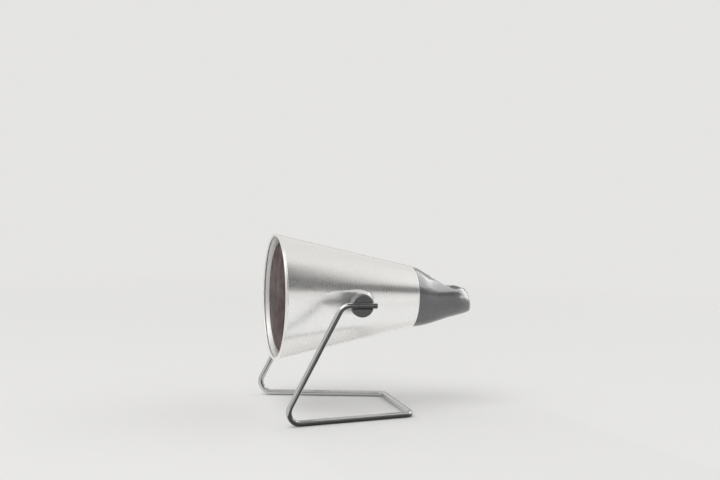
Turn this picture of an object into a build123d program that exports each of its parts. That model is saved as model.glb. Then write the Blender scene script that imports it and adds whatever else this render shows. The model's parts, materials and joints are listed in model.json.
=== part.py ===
from build123d import *
from math import cos, radians, sin, sqrt, tan
import os

# Infrared heat lamp: a spun aluminium shade with a moulded rear cap tilts between two side
# knobs, which sit on the ends of one bent wire stand. A reflector bulb screws in from the mouth.
# Millimetres. +Z is up, the mouth faces -Y and +X is the lamp's left side seen from the mouth.
# Pieces are modelled about the pivot axis (X) and the head axis (Y), then placed over the floor.

# Size of the reflector bulb, which the shade and the stand are built round
bulb_radius = 61.0

# Head axis
pivot_height = 126.5        # floor to the pivot axis
mouth_ahead = 77.0          # pivot axis to the centre of the rolled rim
seam_behind = 80.0          # pivot axis to the seam between shade and cap

# Shade
bulb_margin = 9.0           # edge of the bulb to the outside of the rolled rim
seam_radius = 34.8          # outside of the shade at the seam
shade_wall = 1.0
bead_radius = 1.6
seam_corner = 1.5           # spun corner at the rear of the shade
flange_margin = 4.4         # fixing screws to the opening in the rear flange

# Pressed flats for the pivots
boss_proud = 5.2            # cone to the outside of the flat, on the pivot axis
boss_half_width = 11.5
boss_behind = 19.5          # pivot axis to the rear end of the flat, a half ellipse
boss_ahead = 48.0           # pivot axis to the front end of the outline, inside the cone
boss_depth = 28.0
boss_draft = 8.0            # degrees
boss_edge = 1.5             # rounding round the flat

# Knobs and their hardware
wire_radius = 3.25
wire_margin = 15.0          # outside of the rolled rim to the centre of the wire beside it
knob_radius = 12.25
knob_thickness = 8.0
knob_proud = 2.0            # centre of the wire to the face of the knob
knob_chamfer = 1.4
barrel_radius = 8.2
spigot_radius = 5.5
spigot_short = 0.2          # the spigot ends inside the wall, so the screw clamps the wall
groove_side = 0.25          # clearance beside the wire
groove_floor = 0.05         # clearance under the wire
running_fit = 0.08          # spigot in the shade wall
small_fit = 0.05            # screws, inserts and washers
insert_radius = 3.8
insert_length = 14.0
pivot_screw_radius = 2.5
pivot_screw_short = 1.5     # the screw ends this far inside its insert
pivot_head_radius = 4.8
pivot_head_height = 3.0
friction_thickness = 1.2
flat_washer_thickness = 1.2
flat_washer_radius = 8.0
spring_washer_thickness = 1.5
spring_washer_radius = 4.7
spring_washer_gap = 1.6

# Wire stand, centre line
stub_behind = 16.0          # pivot axis to the cut end
bend_ahead = 21.0           # pivot axis to the corner at the top of the leg
foot_ahead = 83.5
rear_behind = 68.0
rear_inset = 30.0           # the floor runs come in this far towards the rear cross-bar
bend_radius = 12.0
foot_radius = 13.0
rear_radius = 8.0
wire_chamfer = 0.5

# Rear cap
cap_step = 0.4              # the cap is this much smaller than the shade at the seam
cap_length = 70.0
cap_wall = 2.2
cap_solid_tip = 8.0         # closed end around the cord inlet
cap_tip_low = 0.284         # head axis to the cord inlet, as a share of the cap's radius
scoop_back = 49.8           # seam to the middle of the thumb scoop
scoop_half_width = 19.1
scoop_half_length = 16.8
scoop_half_depth = 12.0
scoop_lift = 19.2           # head axis to the middle of the scoop's ellipsoid
scoop_slope = 12.0          # degrees, down towards the tip
cap_post_radius = 3.8
cap_post_length = 10.0
cap_post_floor = 2.0        # left under the screw hole of each post
fixing_margin = 6.8         # outside of the seam to the cap posts and to the bracket screws

# Cord inlet bush
inlet_radius = 3.4
bush_radius = 4.9
bush_flange_radius = 6.2
bush_flange = 1.4
bush_lip = 1.2

# Heat shield, bracket and their screws
shield_thickness = 0.8
shield_margin = 3.6         # outside of the seam to the edge of the heat shield
strap_thickness = 1.5
strap_leg = 3.4             # the strap's base stands this far behind the heat shield
strap_clear = 3.1           # beside the heads of the terminal screws
strap_foot_margin = 2.6     # bracket screws to the ends of the strap's feet
small_screw_radius = 1.75
small_head_radius = 3.4
small_head_height = 2.4
nut_half_flats = 3.5
nut_height = 2.6

# Lampholder
holder_gap = 1.0            # skirt of the bulb to the open end of the holder
holder_margin = 6.0         # bracket screws to the base of the holder
holder_step_in = 2.0        # the holder is this much slimmer ahead of its base
holder_base_length = 16.0
contact_height = 6.6        # bulb's contact to the floor of the holder
sleeve_wall = 0.7
sleeve_play = 0.35          # bulb cap in the sleeve
sleeve_length = 29.0
sleeve_foot = 2.5           # flange at the closed end, turned inwards
contact_width = 8.0
contact_thickness = 0.6
contact_foot = 7.2          # half the length of the strip on the holder's floor
contact_top = 4.2           # half the length of its raised tongue
contact_gap = 0.3           # tongue to the bulb's contact
holder_screw_spacing = 7.2  # holder screws to the earth screw
holder_screw_reach = 7.5    # screws go this far into the porcelain
holder_hole_spare = 1.0     # the holes go this much deeper
holder_step = 2.0           # length of the slope between the two outside radii
holder_edge = 1.5           # bevel round the open end
holder_lead = 0.8           # bevel inside the open end
terminal_margin = 8.0       # edge of the base to the terminal screws
earth_margin = 2.8          # edge of the base to the earth screw

# Reflector bulb
bulb_recess = 2.9           # front of the rolled rim to the crown of the lens
bulb_length = 136.0
lens_rise = 3.2
lens_band = 6.0
lens_edge_round = 4.0       # rounding of the lens into its band
glass_wall = 3.0
glass_edge = 1.0            # bevel where the band meets the bowl
bowl_end_radius = 20.5
neck_length = 7.0
neck_straight = 2.0         # end of the bowl to the closed neck
skirt_radius = 16.4
skirt_length = 10.0
bulb_cap_length = 22.8
cap_thread_radius = 13.05
bulb_cap_wall = 0.5
bulb_contact_radius = 4.8
bulb_contact_height = 1.2
insulator_length = 2.4
insulator_radius = 9.5
insulator_seat = 0.7        # width of the cap's edge that the insulator sits on
insulator_sunk = 1.2
bulb_cap_shoulder = 3.0     # slope between the thread and the insulator
lead_radius = 0.8
filament_span = 12.0
filament_rise = 2.5
filament_depth = 48.0       # crown of the lens to the filament

mouth_radius = bulb_radius + bulb_margin
wire_offset = mouth_radius + wire_margin
rear_offset = wire_offset - rear_inset
mouth_front = -mouth_ahead - bead_radius
cone_slope = (mouth_radius - bead_radius + shade_wall / 2 - seam_radius) / (mouth_ahead + seam_behind)
boss_face = seam_radius + cone_slope * seam_behind + boss_proud
friction_radius = barrel_radius
cone_wall = shade_wall * sqrt(1 + cone_slope ** 2)
flange_front = seam_behind - shade_wall
shield_back = seam_behind + shield_thickness
shield_radius = seam_radius - shield_margin
fixing_radius = seam_radius - fixing_margin
flange_bore = fixing_radius - flange_margin
strap_foot_reach = fixing_radius + strap_foot_margin
holder_base_radius = fixing_radius - holder_margin
holder_radius = holder_base_radius - holder_step_in
terminal_offset = holder_base_radius - terminal_margin
earth_offset = holder_base_radius - earth_margin
strap_width = 2 * (terminal_offset - small_head_radius - strap_clear)
holder_screw_offset = earth_offset - holder_screw_spacing
holder_back = shield_back + strap_leg
strap_back = holder_back + strap_thickness
knob_face = wire_offset + knob_proud
knob_back = knob_face - knob_thickness
barrel_start = boss_face + friction_thickness
boss_inside = boss_face - shade_wall
insert_start = boss_inside + spigot_short
insert_end = insert_start + insert_length
washer_start = boss_inside - flat_washer_thickness
screw_seat = washer_start - spring_washer_thickness
bulb_crown = mouth_front + bulb_recess
lens_edge = bulb_crown + lens_rise
bowl_start = lens_edge + lens_band
bulb_tip = bulb_crown + bulb_length
insulator_start = bulb_tip - bulb_contact_height - insulator_length
thread_start = insulator_start - bulb_cap_length
bowl_behind = thread_start - skirt_length - neck_length
neck_floor = bowl_behind + neck_straight
filament_y = bulb_crown + filament_depth
holder_front = thread_start + holder_gap
holder_floor = bulb_tip + contact_height
tip_end = seam_behind + cap_length
cap_radius = seam_radius - cap_step
tip_drop = cap_tip_low * cap_radius


def cone_radius(y):
    """Outside radius of the shade's cone at a place on the head axis."""
    return seam_radius + cone_slope * (seam_behind - y)


def turned(*points):
    """Solid of revolution about the head axis, from (radius, y) corners."""
    return revolve(make_face(Polyline(*points, close=True)), Axis.Y)


def ring(outer, inner, y_start, y_end):
    """Plain ring about the head axis."""
    return turned((inner, y_start), (outer, y_start), (outer, y_end), (inner, y_end))


def rod_y(radius, y_start, y_end, x=0.0, z=0.0):
    """Round bar parallel to the head axis."""
    place = Plane(origin=(x, y_start, z), z_dir=(0, 1, 0))
    return extrude(place * Circle(radius), y_end - y_start)


def rod_x(radius, x_start, x_end):
    """Round bar on the pivot axis."""
    place = Plane(origin=(x_start, 0, 0), z_dir=(1, 0, 0))
    return extrude(place * Circle(radius), x_end - x_start)


def both_sides(piece):
    """The piece and its mirror image in the mid-plane."""
    return Compound([piece, mirror(piece, Plane.YZ)])


# ---------------------------------------------------------------- shade

def frustum(shrink, y_start, y_end):
    """Solid cone on the head axis, smaller than the shade's outside by shrink."""
    return turned(
        (0, y_start),
        (cone_radius(y_start) - shrink, y_start),
        (cone_radius(y_end) - shrink, y_end),
        (0, y_end),
    )


def boss_block(face_x, inset, edge):
    """Drafted, bullet-shaped block of one pressed flat, rounded round its outer face."""
    plane = Plane(origin=(face_x, 0, 0), x_dir=(0, 1, 0), z_dir=(-1, 0, 0))
    half = boss_half_width - inset
    outline = Ellipse(boss_behind - inset, half) + Pos(-boss_ahead / 2, 0) * Rectangle(boss_ahead, 2 * half)
    block = extrude(plane * outline, boss_depth, taper=-boss_draft)
    flat = block.faces().sort_by(Axis.X)[-1]
    return fillet(flat.edges(), edge)


def shade():
    inner_inset = shade_wall * (1 / cos(radians(boss_draft)) - tan(radians(boss_draft)))
    outer = frustum(0, -mouth_ahead, seam_behind)
    rear_edge = outer.faces().sort_by(Axis.Y)[-1].edges()
    outer = fillet(rear_edge, seam_corner)
    outer_boss = boss_block(boss_face, 0.0, boss_edge)
    inner_boss = boss_block(boss_inside, inner_inset, boss_edge - shade_wall)
    outer = outer + outer_boss + mirror(outer_boss, Plane.YZ)
    inner = frustum(cone_wall, -mouth_ahead - bead_radius, flange_front)
    inner = inner + inner_boss + mirror(inner_boss, Plane.YZ)
    body = outer - inner
    body += revolve(Pos(mouth_radius - bead_radius, -mouth_ahead) * Circle(bead_radius), Axis.Y)
    body -= rod_y(flange_bore, flange_front - 1, seam_behind + 1)
    body -= rod_x(spigot_radius + running_fit, -boss_face - 1, boss_face + 1)
    for x, z in bracket_fixings() + cap_fixings():
        body -= rod_y(small_screw_radius + small_fit, flange_front - 1, seam_behind + 1, x, z)
    return body


def bracket_fixings():
    """Places of the bracket screws round the head axis."""
    return [(fixing_radius, 0.0), (-fixing_radius, 0.0)]


def cap_fixings():
    """Places of the cap screws round the head axis."""
    return [(0.0, fixing_radius), (0.0, -fixing_radius)]


# ---------------------------------------------------------------- rear cap

def cap_stations():
    """Distance behind the seam, top, bottom, half-width and exponent of each cross-section of the cap."""
    shares = [
        (0.000, 1.000, -1.000, 1.000, 2.00),
        (0.100, 0.935, -0.982, 0.980, 2.03),
        (0.250, 0.760, -0.922, 0.919, 2.12),
        (0.420, 0.645, -0.818, 0.837, 2.25),
        (0.600, 0.610, -0.709, 0.760, 2.25),
        (0.780, 0.515, -0.619, 0.665, 2.25),
        (0.900, 0.310, -0.561, 0.510, 2.25),
        (0.965, 0.105, -0.522, 0.380, 2.25),
        (1.000, -0.070, -0.498, 0.262, 2.25),
    ]
    return [(back * cap_length, *(share * cap_radius for share in rest), exponent)
            for back, *rest, exponent in shares]


def cap_section(back, top, bottom, half_width, exponent, inset):
    """Closed super-elliptical outline square to the head axis. Exponent 2 is an ellipse."""
    power = 2 / exponent
    high = (top - bottom) / 2 - inset
    wide = half_width - inset
    points = []
    for step in range(16):
        turn = radians(22.5 * step)
        across = wide * abs(cos(turn)) ** power * (1 if cos(turn) >= 0 else -1)
        up = high * abs(sin(turn)) ** power * (1 if sin(turn) >= 0 else -1)
        points.append((across, seam_behind + back, (top + bottom) / 2 + up))
    return make_face(Spline(*points, periodic=True))


def cap_loft(inset, reach):
    """Loft through the cross-sections that lie within reach of the seam."""
    rows = [row for row in cap_stations() if row[0] <= reach]
    return loft([cap_section(*row, inset) for row in rows])


def above_saddle(drop):
    """Block over the hollow top line of the tongue, lowered by drop."""
    shares = [
        (0.30, 0.660), (0.45, 0.490), (0.57, 0.360), (0.73, 0.315),
        (0.86, 0.325), (0.94, 0.205), (1.01, -0.050),
    ]
    line = Spline(*[(back * cap_length, up * cap_radius) for back, up in shares])
    start, end = line @ 0, line @ 1
    high = 2 * cap_radius
    far = 1.3 * cap_length
    sides = Polyline(end, (far, high), (start.X, high), start)
    face = make_face([line, sides])
    place = Plane(origin=(-2 * cap_radius, seam_behind, -drop), x_dir=(0, 1, 0), z_dir=(1, 0, 0))
    return extrude(place * face, 4 * cap_radius)


def scoop_tool(grow):
    """Ellipsoid that hollows the tongue, tilted down towards the tip."""
    ball = scale(Sphere(1), by=(scoop_half_width + grow, scoop_half_length + grow, scoop_half_depth + grow))
    return Pos(0, seam_behind + scoop_back, scoop_lift) * Rot(-scoop_slope, 0, 0) * ball


def rear_cap():
    inside_reach = cap_length - cap_solid_tip
    outside = cap_loft(0.0, cap_length) - above_saddle(0.0) - scoop_tool(0.0)
    hollow = cap_loft(cap_wall, inside_reach) - above_saddle(cap_wall) - scoop_tool(cap_wall)
    body = outside - hollow
    post_end = seam_behind + cap_post_length
    for x, z in cap_fixings():
        body += rod_y(cap_post_radius, seam_behind, post_end, x, z) & outside
        body -= rod_y(small_screw_radius + small_fit, seam_behind - 1, post_end - cap_post_floor, x, z)
    body -= rod_y(shield_radius + small_fit, seam_behind - 1, shield_back)
    body -= rod_y(bush_radius + small_fit, tip_end - 2.5 * cap_solid_tip, tip_end + 1, 0, -tip_drop)
    body -= rod_y(bush_flange_radius + small_fit, tip_end - bush_flange, tip_end + 1, 0, -tip_drop)
    return body


def cord_bush():
    """Rubber bush in the tip, with a flange outside and a lip inside."""
    inner_end = tip_end - cap_solid_tip
    body = rod_y(bush_radius, inner_end, tip_end)
    body += rod_y(bush_flange_radius, tip_end - bush_flange, tip_end)
    body = Pos(0, 0, -tip_drop) * body
    return body - rod_y(inlet_radius, inner_end - 1, tip_end + 1, 0, -tip_drop)


# ---------------------------------------------------------------- inside the shade and cap

def heat_shield():
    body = ring(shield_radius, flange_bore, seam_behind, shield_back)
    for x, z in bracket_fixings() + cap_fixings():
        body -= rod_y(small_screw_radius + small_fit, seam_behind - 1, shield_back + 1, x, z)
    return body


def lampholder_bracket():
    """Strap behind the lampholder, with two legs and two feet on the heat shield."""
    inside = holder_base_radius + small_fit
    low = strap_width / 2
    leg_end = inside + strap_thickness
    outline = make_face(Polyline(
        (-leg_end, strap_back), (leg_end, strap_back),
        (leg_end, shield_back + strap_thickness), (strap_foot_reach, shield_back + strap_thickness),
        (strap_foot_reach, shield_back), (inside, shield_back),
        (inside, holder_back), (-inside, holder_back),
        (-inside, shield_back), (-strap_foot_reach, shield_back),
        (-strap_foot_reach, shield_back + strap_thickness), (-leg_end, shield_back + strap_thickness),
        close=True,
    ))
    body = extrude(Pos(0, 0, -low) * outline, strap_width)
    outer_corners = body.edges().filter_by(Axis.Z).group_by(Axis.Y)[-1]
    body = fillet(outer_corners, 0.8 * strap_thickness)
    for x, _ in bracket_fixings():
        body -= rod_y(small_screw_radius + small_fit, shield_back - 1, shield_back + 2 * strap_thickness, x)
    for x in (-holder_screw_offset, holder_screw_offset, earth_offset):
        body -= rod_y(small_screw_radius + small_fit, holder_back - 1, strap_back + 1, x, 0)
    return body


def pan_screw(head_y, tip_y, x=0.0, z=0.0):
    """Small pan-head screw along the head axis, from its seat at head_y to its tip."""
    away = 1 if head_y > tip_y else -1
    seat, top = sorted((head_y, head_y + away * small_head_height))
    start, end = sorted((head_y, tip_y))
    head = rod_y(small_head_radius, seat, top, x, z)
    crown = head.faces().sort_by(Axis.Y)[-1 if away > 0 else 0]
    head = chamfer(crown.edges(), small_head_height * 0.35)
    return head + rod_y(small_screw_radius, start, end, x, z)


def bracket_screws():
    tip = shield_back + strap_thickness + nut_height + 1.0
    return Compound([pan_screw(flange_front, tip, x, z) for x, z in bracket_fixings()])


def bracket_nuts():
    seat = shield_back + strap_thickness
    nuts = []
    for x, z in bracket_fixings():
        place = Plane(origin=(x, seat, z), z_dir=(0, 1, 0))
        hexagon = RegularPolygon(nut_half_flats, 6, major_radius=False)
        nuts.append(extrude(place * (hexagon - Circle(small_screw_radius + small_fit)), nut_height))
    return Compound(nuts)


def cap_screws():
    tip = seam_behind + cap_post_length - 3.0
    return Compound([pan_screw(flange_front, tip, x, z) for x, z in cap_fixings()])


def lampholder_body():
    sleeve_outside = cap_thread_radius + sleeve_play + sleeve_wall + small_fit
    base_start = holder_back - holder_base_length
    body = turned(
        (0, holder_back), (holder_base_radius, holder_back),
        (holder_base_radius, base_start), (holder_radius, base_start - holder_step),
        (holder_radius, holder_front + holder_edge), (holder_radius - holder_edge, holder_front),
        (sleeve_outside + holder_lead, holder_front), (sleeve_outside, holder_front + holder_lead),
        (sleeve_outside, holder_floor), (0, holder_floor),
    )
    hole_end = holder_back - holder_screw_reach - holder_hole_spare
    for x in (-holder_screw_offset, holder_screw_offset, earth_offset):
        body -= rod_y(small_screw_radius + small_fit, hole_end, holder_back + 1, x, 0)
    for z in (-terminal_offset, terminal_offset):
        body -= rod_y(small_screw_radius + small_fit, hole_end, holder_back + 1, 0, z)
    return body


def lampholder_sleeve():
    inner = cap_thread_radius + sleeve_play
    sleeve = ring(inner + sleeve_wall, inner, holder_floor - sleeve_length, holder_floor)
    foot = ring(inner + sleeve_wall / 2, inner - sleeve_foot, holder_floor - sleeve_wall, holder_floor)
    return sleeve + foot


def lampholder_contact():
    """Springy strip from the floor of the holder to just behind the bulb's contact."""
    top = bulb_tip + contact_gap
    half = contact_width / 2
    strip = Polyline(
        (-contact_foot, holder_floor), (contact_foot, holder_floor), (contact_top, top), (-contact_top, top),
        (-contact_top, top + contact_thickness), (contact_top - contact_thickness, top + contact_thickness),
        (contact_foot - contact_thickness, holder_floor - contact_thickness),
        (-contact_foot, holder_floor - contact_thickness),
        close=True,
    )
    return extrude(Pos(0, 0, -half) * make_face(strip), contact_width)


def holder_screws():
    return both_sides(pan_screw(strap_back, holder_back - holder_screw_reach, holder_screw_offset))


def terminal_screws():
    tip = holder_back - holder_screw_reach
    upper = pan_screw(holder_back, tip, 0, terminal_offset)
    lower = pan_screw(holder_back, tip, 0, -terminal_offset)
    return Compound([upper, lower])


def earth_screw():
    return pan_screw(strap_back, holder_back - holder_screw_reach, earth_offset)


# ---------------------------------------------------------------- reflector bulb

def bowl_radius(y):
    """Outside radius of the bulb's parabolic bowl at a place on the head axis."""
    start_radius = bulb_radius - glass_edge
    rate = (start_radius ** 2 - bowl_end_radius ** 2) / (bowl_behind - bowl_start)
    return sqrt(bowl_end_radius ** 2 + rate * (bowl_behind - y))


def bowl_curve(inset):
    """Meridian of the bowl as one arc through three points of the parabola, moved inwards by inset."""
    stations = [bowl_start, (bowl_start + bowl_behind) / 2, bowl_behind]
    return ThreePointArc(*[(bowl_radius(y) - inset, y) for y in stations])


def bulb_reflector():
    """Pressed glass bowl with a closed neck."""
    outside = bowl_curve(0)
    inside = bowl_curve(glass_wall)
    neck_end = bowl_behind + neck_length
    neck = Polyline(
        outside @ 1, (bowl_end_radius, neck_floor), (skirt_radius, neck_end), (0, neck_end),
        (0, neck_floor), (inside.position_at(1).X, neck_floor), inside @ 1,
    )
    rim = Line(inside @ 0, outside @ 0)
    return revolve(make_face([outside, neck, inside, rim]), Axis.Y)


def bulb_lens():
    """Domed front glass with a rounded edge band."""
    crown = ThreePointArc((-bulb_radius, lens_edge), (0, bulb_crown), (bulb_radius, lens_edge))
    back = Polyline(
        crown @ 1, (bulb_radius, bowl_start - glass_edge), (bulb_radius - glass_edge, bowl_start),
        (glass_edge - bulb_radius, bowl_start), (-bulb_radius, bowl_start - glass_edge), crown @ 0,
    )
    face = make_face([crown, back])
    corners = face.vertices().filter_by_position(Axis.Y, lens_edge - 0.01, lens_edge + 0.01)
    face = fillet(corners, lens_edge_round)
    half = face & Pos(bulb_radius, bulb_crown) * Rectangle(2 * bulb_radius, 2 * bulb_radius)
    body = revolve(half, Axis.Y)
    hollow_radius = bulb_radius - glass_edge - glass_wall
    return body - rod_y(hollow_radius, lens_edge + glass_wall / 2, bowl_start + 1)


def bulb_skirt():
    """Metal skirt between the glass neck and the screw cap."""
    start = bowl_behind + neck_length
    return turned(
        (0, start), (skirt_radius, start), (skirt_radius, thread_start - bulb_cap_shoulder / 2),
        (cap_thread_radius, thread_start), (0, thread_start),
    )


def bulb_screw_cap():
    inside = cap_thread_radius - bulb_cap_wall
    shoulder = insulator_start - bulb_cap_shoulder
    return turned(
        (inside, thread_start), (cap_thread_radius, thread_start), (cap_thread_radius, shoulder),
        (insulator_radius, insulator_start), (insulator_radius - insulator_seat, insulator_start),
        (inside, shoulder - 0.2),
    )


def bulb_insulator():
    end = insulator_start + insulator_length
    seat_radius = insulator_radius - insulator_seat
    return turned(
        (0, insulator_start - insulator_sunk), (seat_radius - 0.4, insulator_start - insulator_sunk),
        (seat_radius, insulator_start), (insulator_radius, insulator_start),
        (bulb_contact_radius + 0.8, end), (0, end),
    )


def bulb_contact():
    start = insulator_start + insulator_length
    button = rod_y(bulb_contact_radius, start, bulb_tip)
    return chamfer(button.faces().sort_by(Axis.Y)[-1].edges(), bulb_contact_height * 0.5)


def bulb_filament():
    """Coiled tungsten, drawn as the round bar that the coil fills, across the two leads."""
    arch = ThreePointArc(
        (-filament_span / 2, filament_y, 0),
        (0, filament_y - filament_rise, 0),
        (filament_span / 2, filament_y, 0),
    )
    start = Plane(origin=arch @ 0, z_dir=arch % 0)
    return sweep(start * Circle(lead_radius), path=arch)


def filament_leads():
    """Two stiff wires from the closed neck to the ends of the filament."""
    return both_sides(rod_y(lead_radius, filament_y + lead_radius, neck_floor, filament_span / 2))


# ---------------------------------------------------------------- stand

def stand_wire():
    """One bent wire: a stub in each knob, two legs, two floor runs and the rear cross-bar."""
    floor = wire_radius - pivot_height
    corners = [
        (wire_offset, stub_behind, 0), (wire_offset, -bend_ahead, 0),
        (wire_offset, -foot_ahead, floor), (rear_offset, rear_behind, floor),
        (-rear_offset, rear_behind, floor), (-wire_offset, -foot_ahead, floor),
        (-wire_offset, -bend_ahead, 0), (-wire_offset, stub_behind, 0),
    ]
    radii = [bend_radius, foot_radius, rear_radius, rear_radius, foot_radius, bend_radius]
    path = FilletPolyline(*corners, radius=radii)
    runs = []
    for stretch in path.edges():
        start = Plane(origin=stretch @ 0, z_dir=stretch % 0)
        runs.append(sweep(start * Circle(wire_radius), path=stretch))
    body = runs[0].fuse(*runs[1:])
    cut_ends = body.faces().filter_by(GeomType.PLANE).edges()
    return chamfer(cut_ends, wire_chamfer)


def knob():
    """Knob on the +X side: spigot, barrel and a disc with a groove for the wire."""
    spigot = rod_x(spigot_radius, insert_start, barrel_start)
    barrel = rod_x(barrel_radius, barrel_start, knob_back)
    disc = rod_x(knob_radius, knob_back, knob_face)
    face_edge = disc.faces().sort_by(Axis.X)[-1].edges()
    disc = chamfer(face_edge, knob_chamfer)
    back_edge = disc.faces().sort_by(Axis.X)[0].edges()
    disc = chamfer(back_edge, knob_chamfer / 2)
    body = spigot + barrel + disc
    half = wire_radius + groove_side
    floor = wire_offset - wire_radius - groove_floor
    start = Plane(origin=(floor + half, -2 * knob_radius, 0), z_dir=(0, 1, 0))
    bottom = extrude(start * Circle(half), 4 * knob_radius)
    mouth = Pos(floor + half + knob_radius, 0, 0) * Box(2 * knob_radius, 4 * knob_radius, 2 * half)
    body -= bottom + mouth
    return body - rod_x(insert_radius + small_fit, boss_inside - 1, insert_end)


def knob_left():
    return knob()


def knob_right():
    return mirror(knob(), Plane.YZ)


def knob_inserts():
    """Threaded brass bushes moulded into the knobs."""
    bush = rod_x(insert_radius, insert_start, insert_end)
    return both_sides(bush - rod_x(pivot_screw_radius + small_fit, insert_start - 1, insert_end + 1))


def pivot_screws():
    head = rod_x(pivot_head_radius, screw_seat - pivot_head_height, screw_seat)
    crown = head.faces().sort_by(Axis.X)[0].edges()
    head = chamfer(crown, pivot_head_height * 0.35)
    shank = rod_x(pivot_screw_radius, screw_seat, insert_end - pivot_screw_short)
    return both_sides(head + shank)


def friction_washers():
    start = boss_face
    bore = spigot_radius + small_fit
    body = rod_x(friction_radius, start, barrel_start)
    return both_sides(body - rod_x(bore, start - 1, barrel_start + 1))


def flat_washers():
    bore = pivot_screw_radius + small_fit
    body = rod_x(flat_washer_radius, washer_start, boss_inside)
    return both_sides(body - rod_x(bore, washer_start - 1, boss_inside + 1))


def spring_washers():
    bore = pivot_screw_radius + small_fit
    ring_hole = rod_x(bore, screw_seat - 1, washer_start + 1)
    body = rod_x(spring_washer_radius, screw_seat, washer_start) - ring_hole
    slit = Box(4 * spring_washer_thickness, spring_washer_gap, 1.6 * spring_washer_radius)
    split = Pos(screw_seat, 0, spring_washer_radius) * slit
    return both_sides(body - split)


# ---------------------------------------------------------------- assembly

makers = [
    shade, rear_cap, cord_bush, heat_shield, lampholder_bracket, bracket_screws, bracket_nuts,
    cap_screws, lampholder_body, lampholder_sleeve, lampholder_contact, holder_screws,
    terminal_screws, earth_screw, bulb_reflector, bulb_lens, bulb_skirt, bulb_screw_cap,
    bulb_insulator, bulb_contact, bulb_filament, filament_leads, stand_wire, knob_left,
    knob_right, knob_inserts, pivot_screws, friction_washers, flat_washers, spring_washers,
]


def write_parts():
    """Build every piece, put the lamp on the floor about its middle and write one file each."""
    os.makedirs("parts", exist_ok=True)
    pieces = {maker.__name__: maker() for maker in makers}
    front = pieces["stand_wire"].bounding_box().min.Y
    middle = (front + tip_end) / 2
    place = Pos(0, -middle, pivot_height)
    for name, piece in pieces.items():
        export_step(place * piece, f"parts/{name}.step")
    print(f"pivot axis at Y {-middle:.4f}, Z {pivot_height:.1f}")


write_parts()
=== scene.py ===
"""Looks of the infrared heat lamp: surfaces, finishes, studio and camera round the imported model.

Shapes are worked out in millimetres about the tilt pivot: x runs along the pivot, y along the head
axis with the mouth at -y, and z up. They move to the row frame, in metres, when a mesh is made.
"""

import json
import logging
import math
from dataclasses import dataclass, replace
from enum import Enum

import bmesh
import bpy
import numpy as np
from mathutils import Matrix, Quaternion, Vector


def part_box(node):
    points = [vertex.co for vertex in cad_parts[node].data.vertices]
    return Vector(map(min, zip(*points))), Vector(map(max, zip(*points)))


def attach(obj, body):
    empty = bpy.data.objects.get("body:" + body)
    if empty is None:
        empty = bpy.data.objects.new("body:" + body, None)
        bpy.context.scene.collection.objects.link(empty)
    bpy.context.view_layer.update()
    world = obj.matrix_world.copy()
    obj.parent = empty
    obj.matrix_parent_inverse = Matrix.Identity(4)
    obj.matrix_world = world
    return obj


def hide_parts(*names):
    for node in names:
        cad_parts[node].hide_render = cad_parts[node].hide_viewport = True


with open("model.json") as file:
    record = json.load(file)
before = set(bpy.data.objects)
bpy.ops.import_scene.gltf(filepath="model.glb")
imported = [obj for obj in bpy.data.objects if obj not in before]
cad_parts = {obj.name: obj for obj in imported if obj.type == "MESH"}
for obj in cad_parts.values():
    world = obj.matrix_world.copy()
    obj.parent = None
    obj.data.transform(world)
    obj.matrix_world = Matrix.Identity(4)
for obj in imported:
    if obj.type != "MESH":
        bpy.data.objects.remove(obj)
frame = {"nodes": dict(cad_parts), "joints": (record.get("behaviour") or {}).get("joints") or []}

log = logging.getLogger("heat_lamp")

MM = 0.001
PIVOT = np.array(next(joint["pos_m"] for joint in frame["joints"] if joint["name"] == "head_tilt"))
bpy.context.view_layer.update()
MERGE_DISTANCE = 1e-6
MIDDLE_HEIGHTS = (0.3, 0.7)

Colour = tuple[float, float, float]
Place = tuple[float, float, float]
Range = tuple[float, float]
Socket = bpy.types.NodeSocket
Value = Socket | float | Colour


# ---------------------------------------------------------------- curves and surfaces


def smooth_curve(stations: np.ndarray, values: np.ndarray, at: np.ndarray) -> np.ndarray:
    """Natural cubic spline through (stations, values), read at other places.

    The second derivative is zero at both ends and solves one tridiagonal system.

    Args:
        stations: increasing places, shape (n,).
        values: heights there, shape (n,).
        at: places to read, any shape.

    Returns:
        The curve's heights, with the shape of at.
    """
    step = np.diff(stations)
    slope = np.diff(values) / step
    system = np.eye(len(stations))
    inner = np.arange(1, len(stations) - 1)
    system[inner, inner - 1] = step[:-1]
    system[inner, inner] = 2 * (step[:-1] + step[1:])
    system[inner, inner + 1] = step[1:]
    right = np.zeros(len(stations))
    right[inner] = 6 * np.diff(slope)
    bend = np.linalg.solve(system, right)
    span = np.clip(np.searchsorted(stations, at) - 1, 0, len(step) - 1)
    after, before = at - stations[span], stations[span + 1] - at
    h = step[span]
    cubic = (bend[span] * before**3 + bend[span + 1] * after**3) / (6 * h)
    line = (values[span] / h - bend[span] * h / 6) * before
    return cubic + line + (values[span + 1] / h - bend[span + 1] * h / 6) * after


def soft_max(a: np.ndarray, b: np.ndarray, radius: float) -> np.ndarray:
    """The larger of two heights, with a round of about that radius where they cross."""
    mix = np.clip(0.5 + (a - b) / (2 * radius), 0, 1)
    return a * mix + b * (1 - mix) + radius * mix * (1 - mix)


def soft_min(a: np.ndarray, b: np.ndarray, radius: float) -> np.ndarray:
    """The smaller of two heights, with a round of about that radius where they cross."""
    return -soft_max(-a, -b, radius)


def arc(centre: Range, radius: float, start: float, end: float, count: int) -> np.ndarray:
    """Points of a circular arc in a section plane, angles in degrees, shape (count, 2)."""
    turn = np.radians(np.linspace(start, end, count))
    return np.stack([centre[0] + radius * np.cos(turn), centre[1] + radius * np.sin(turn)], -1)


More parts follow.
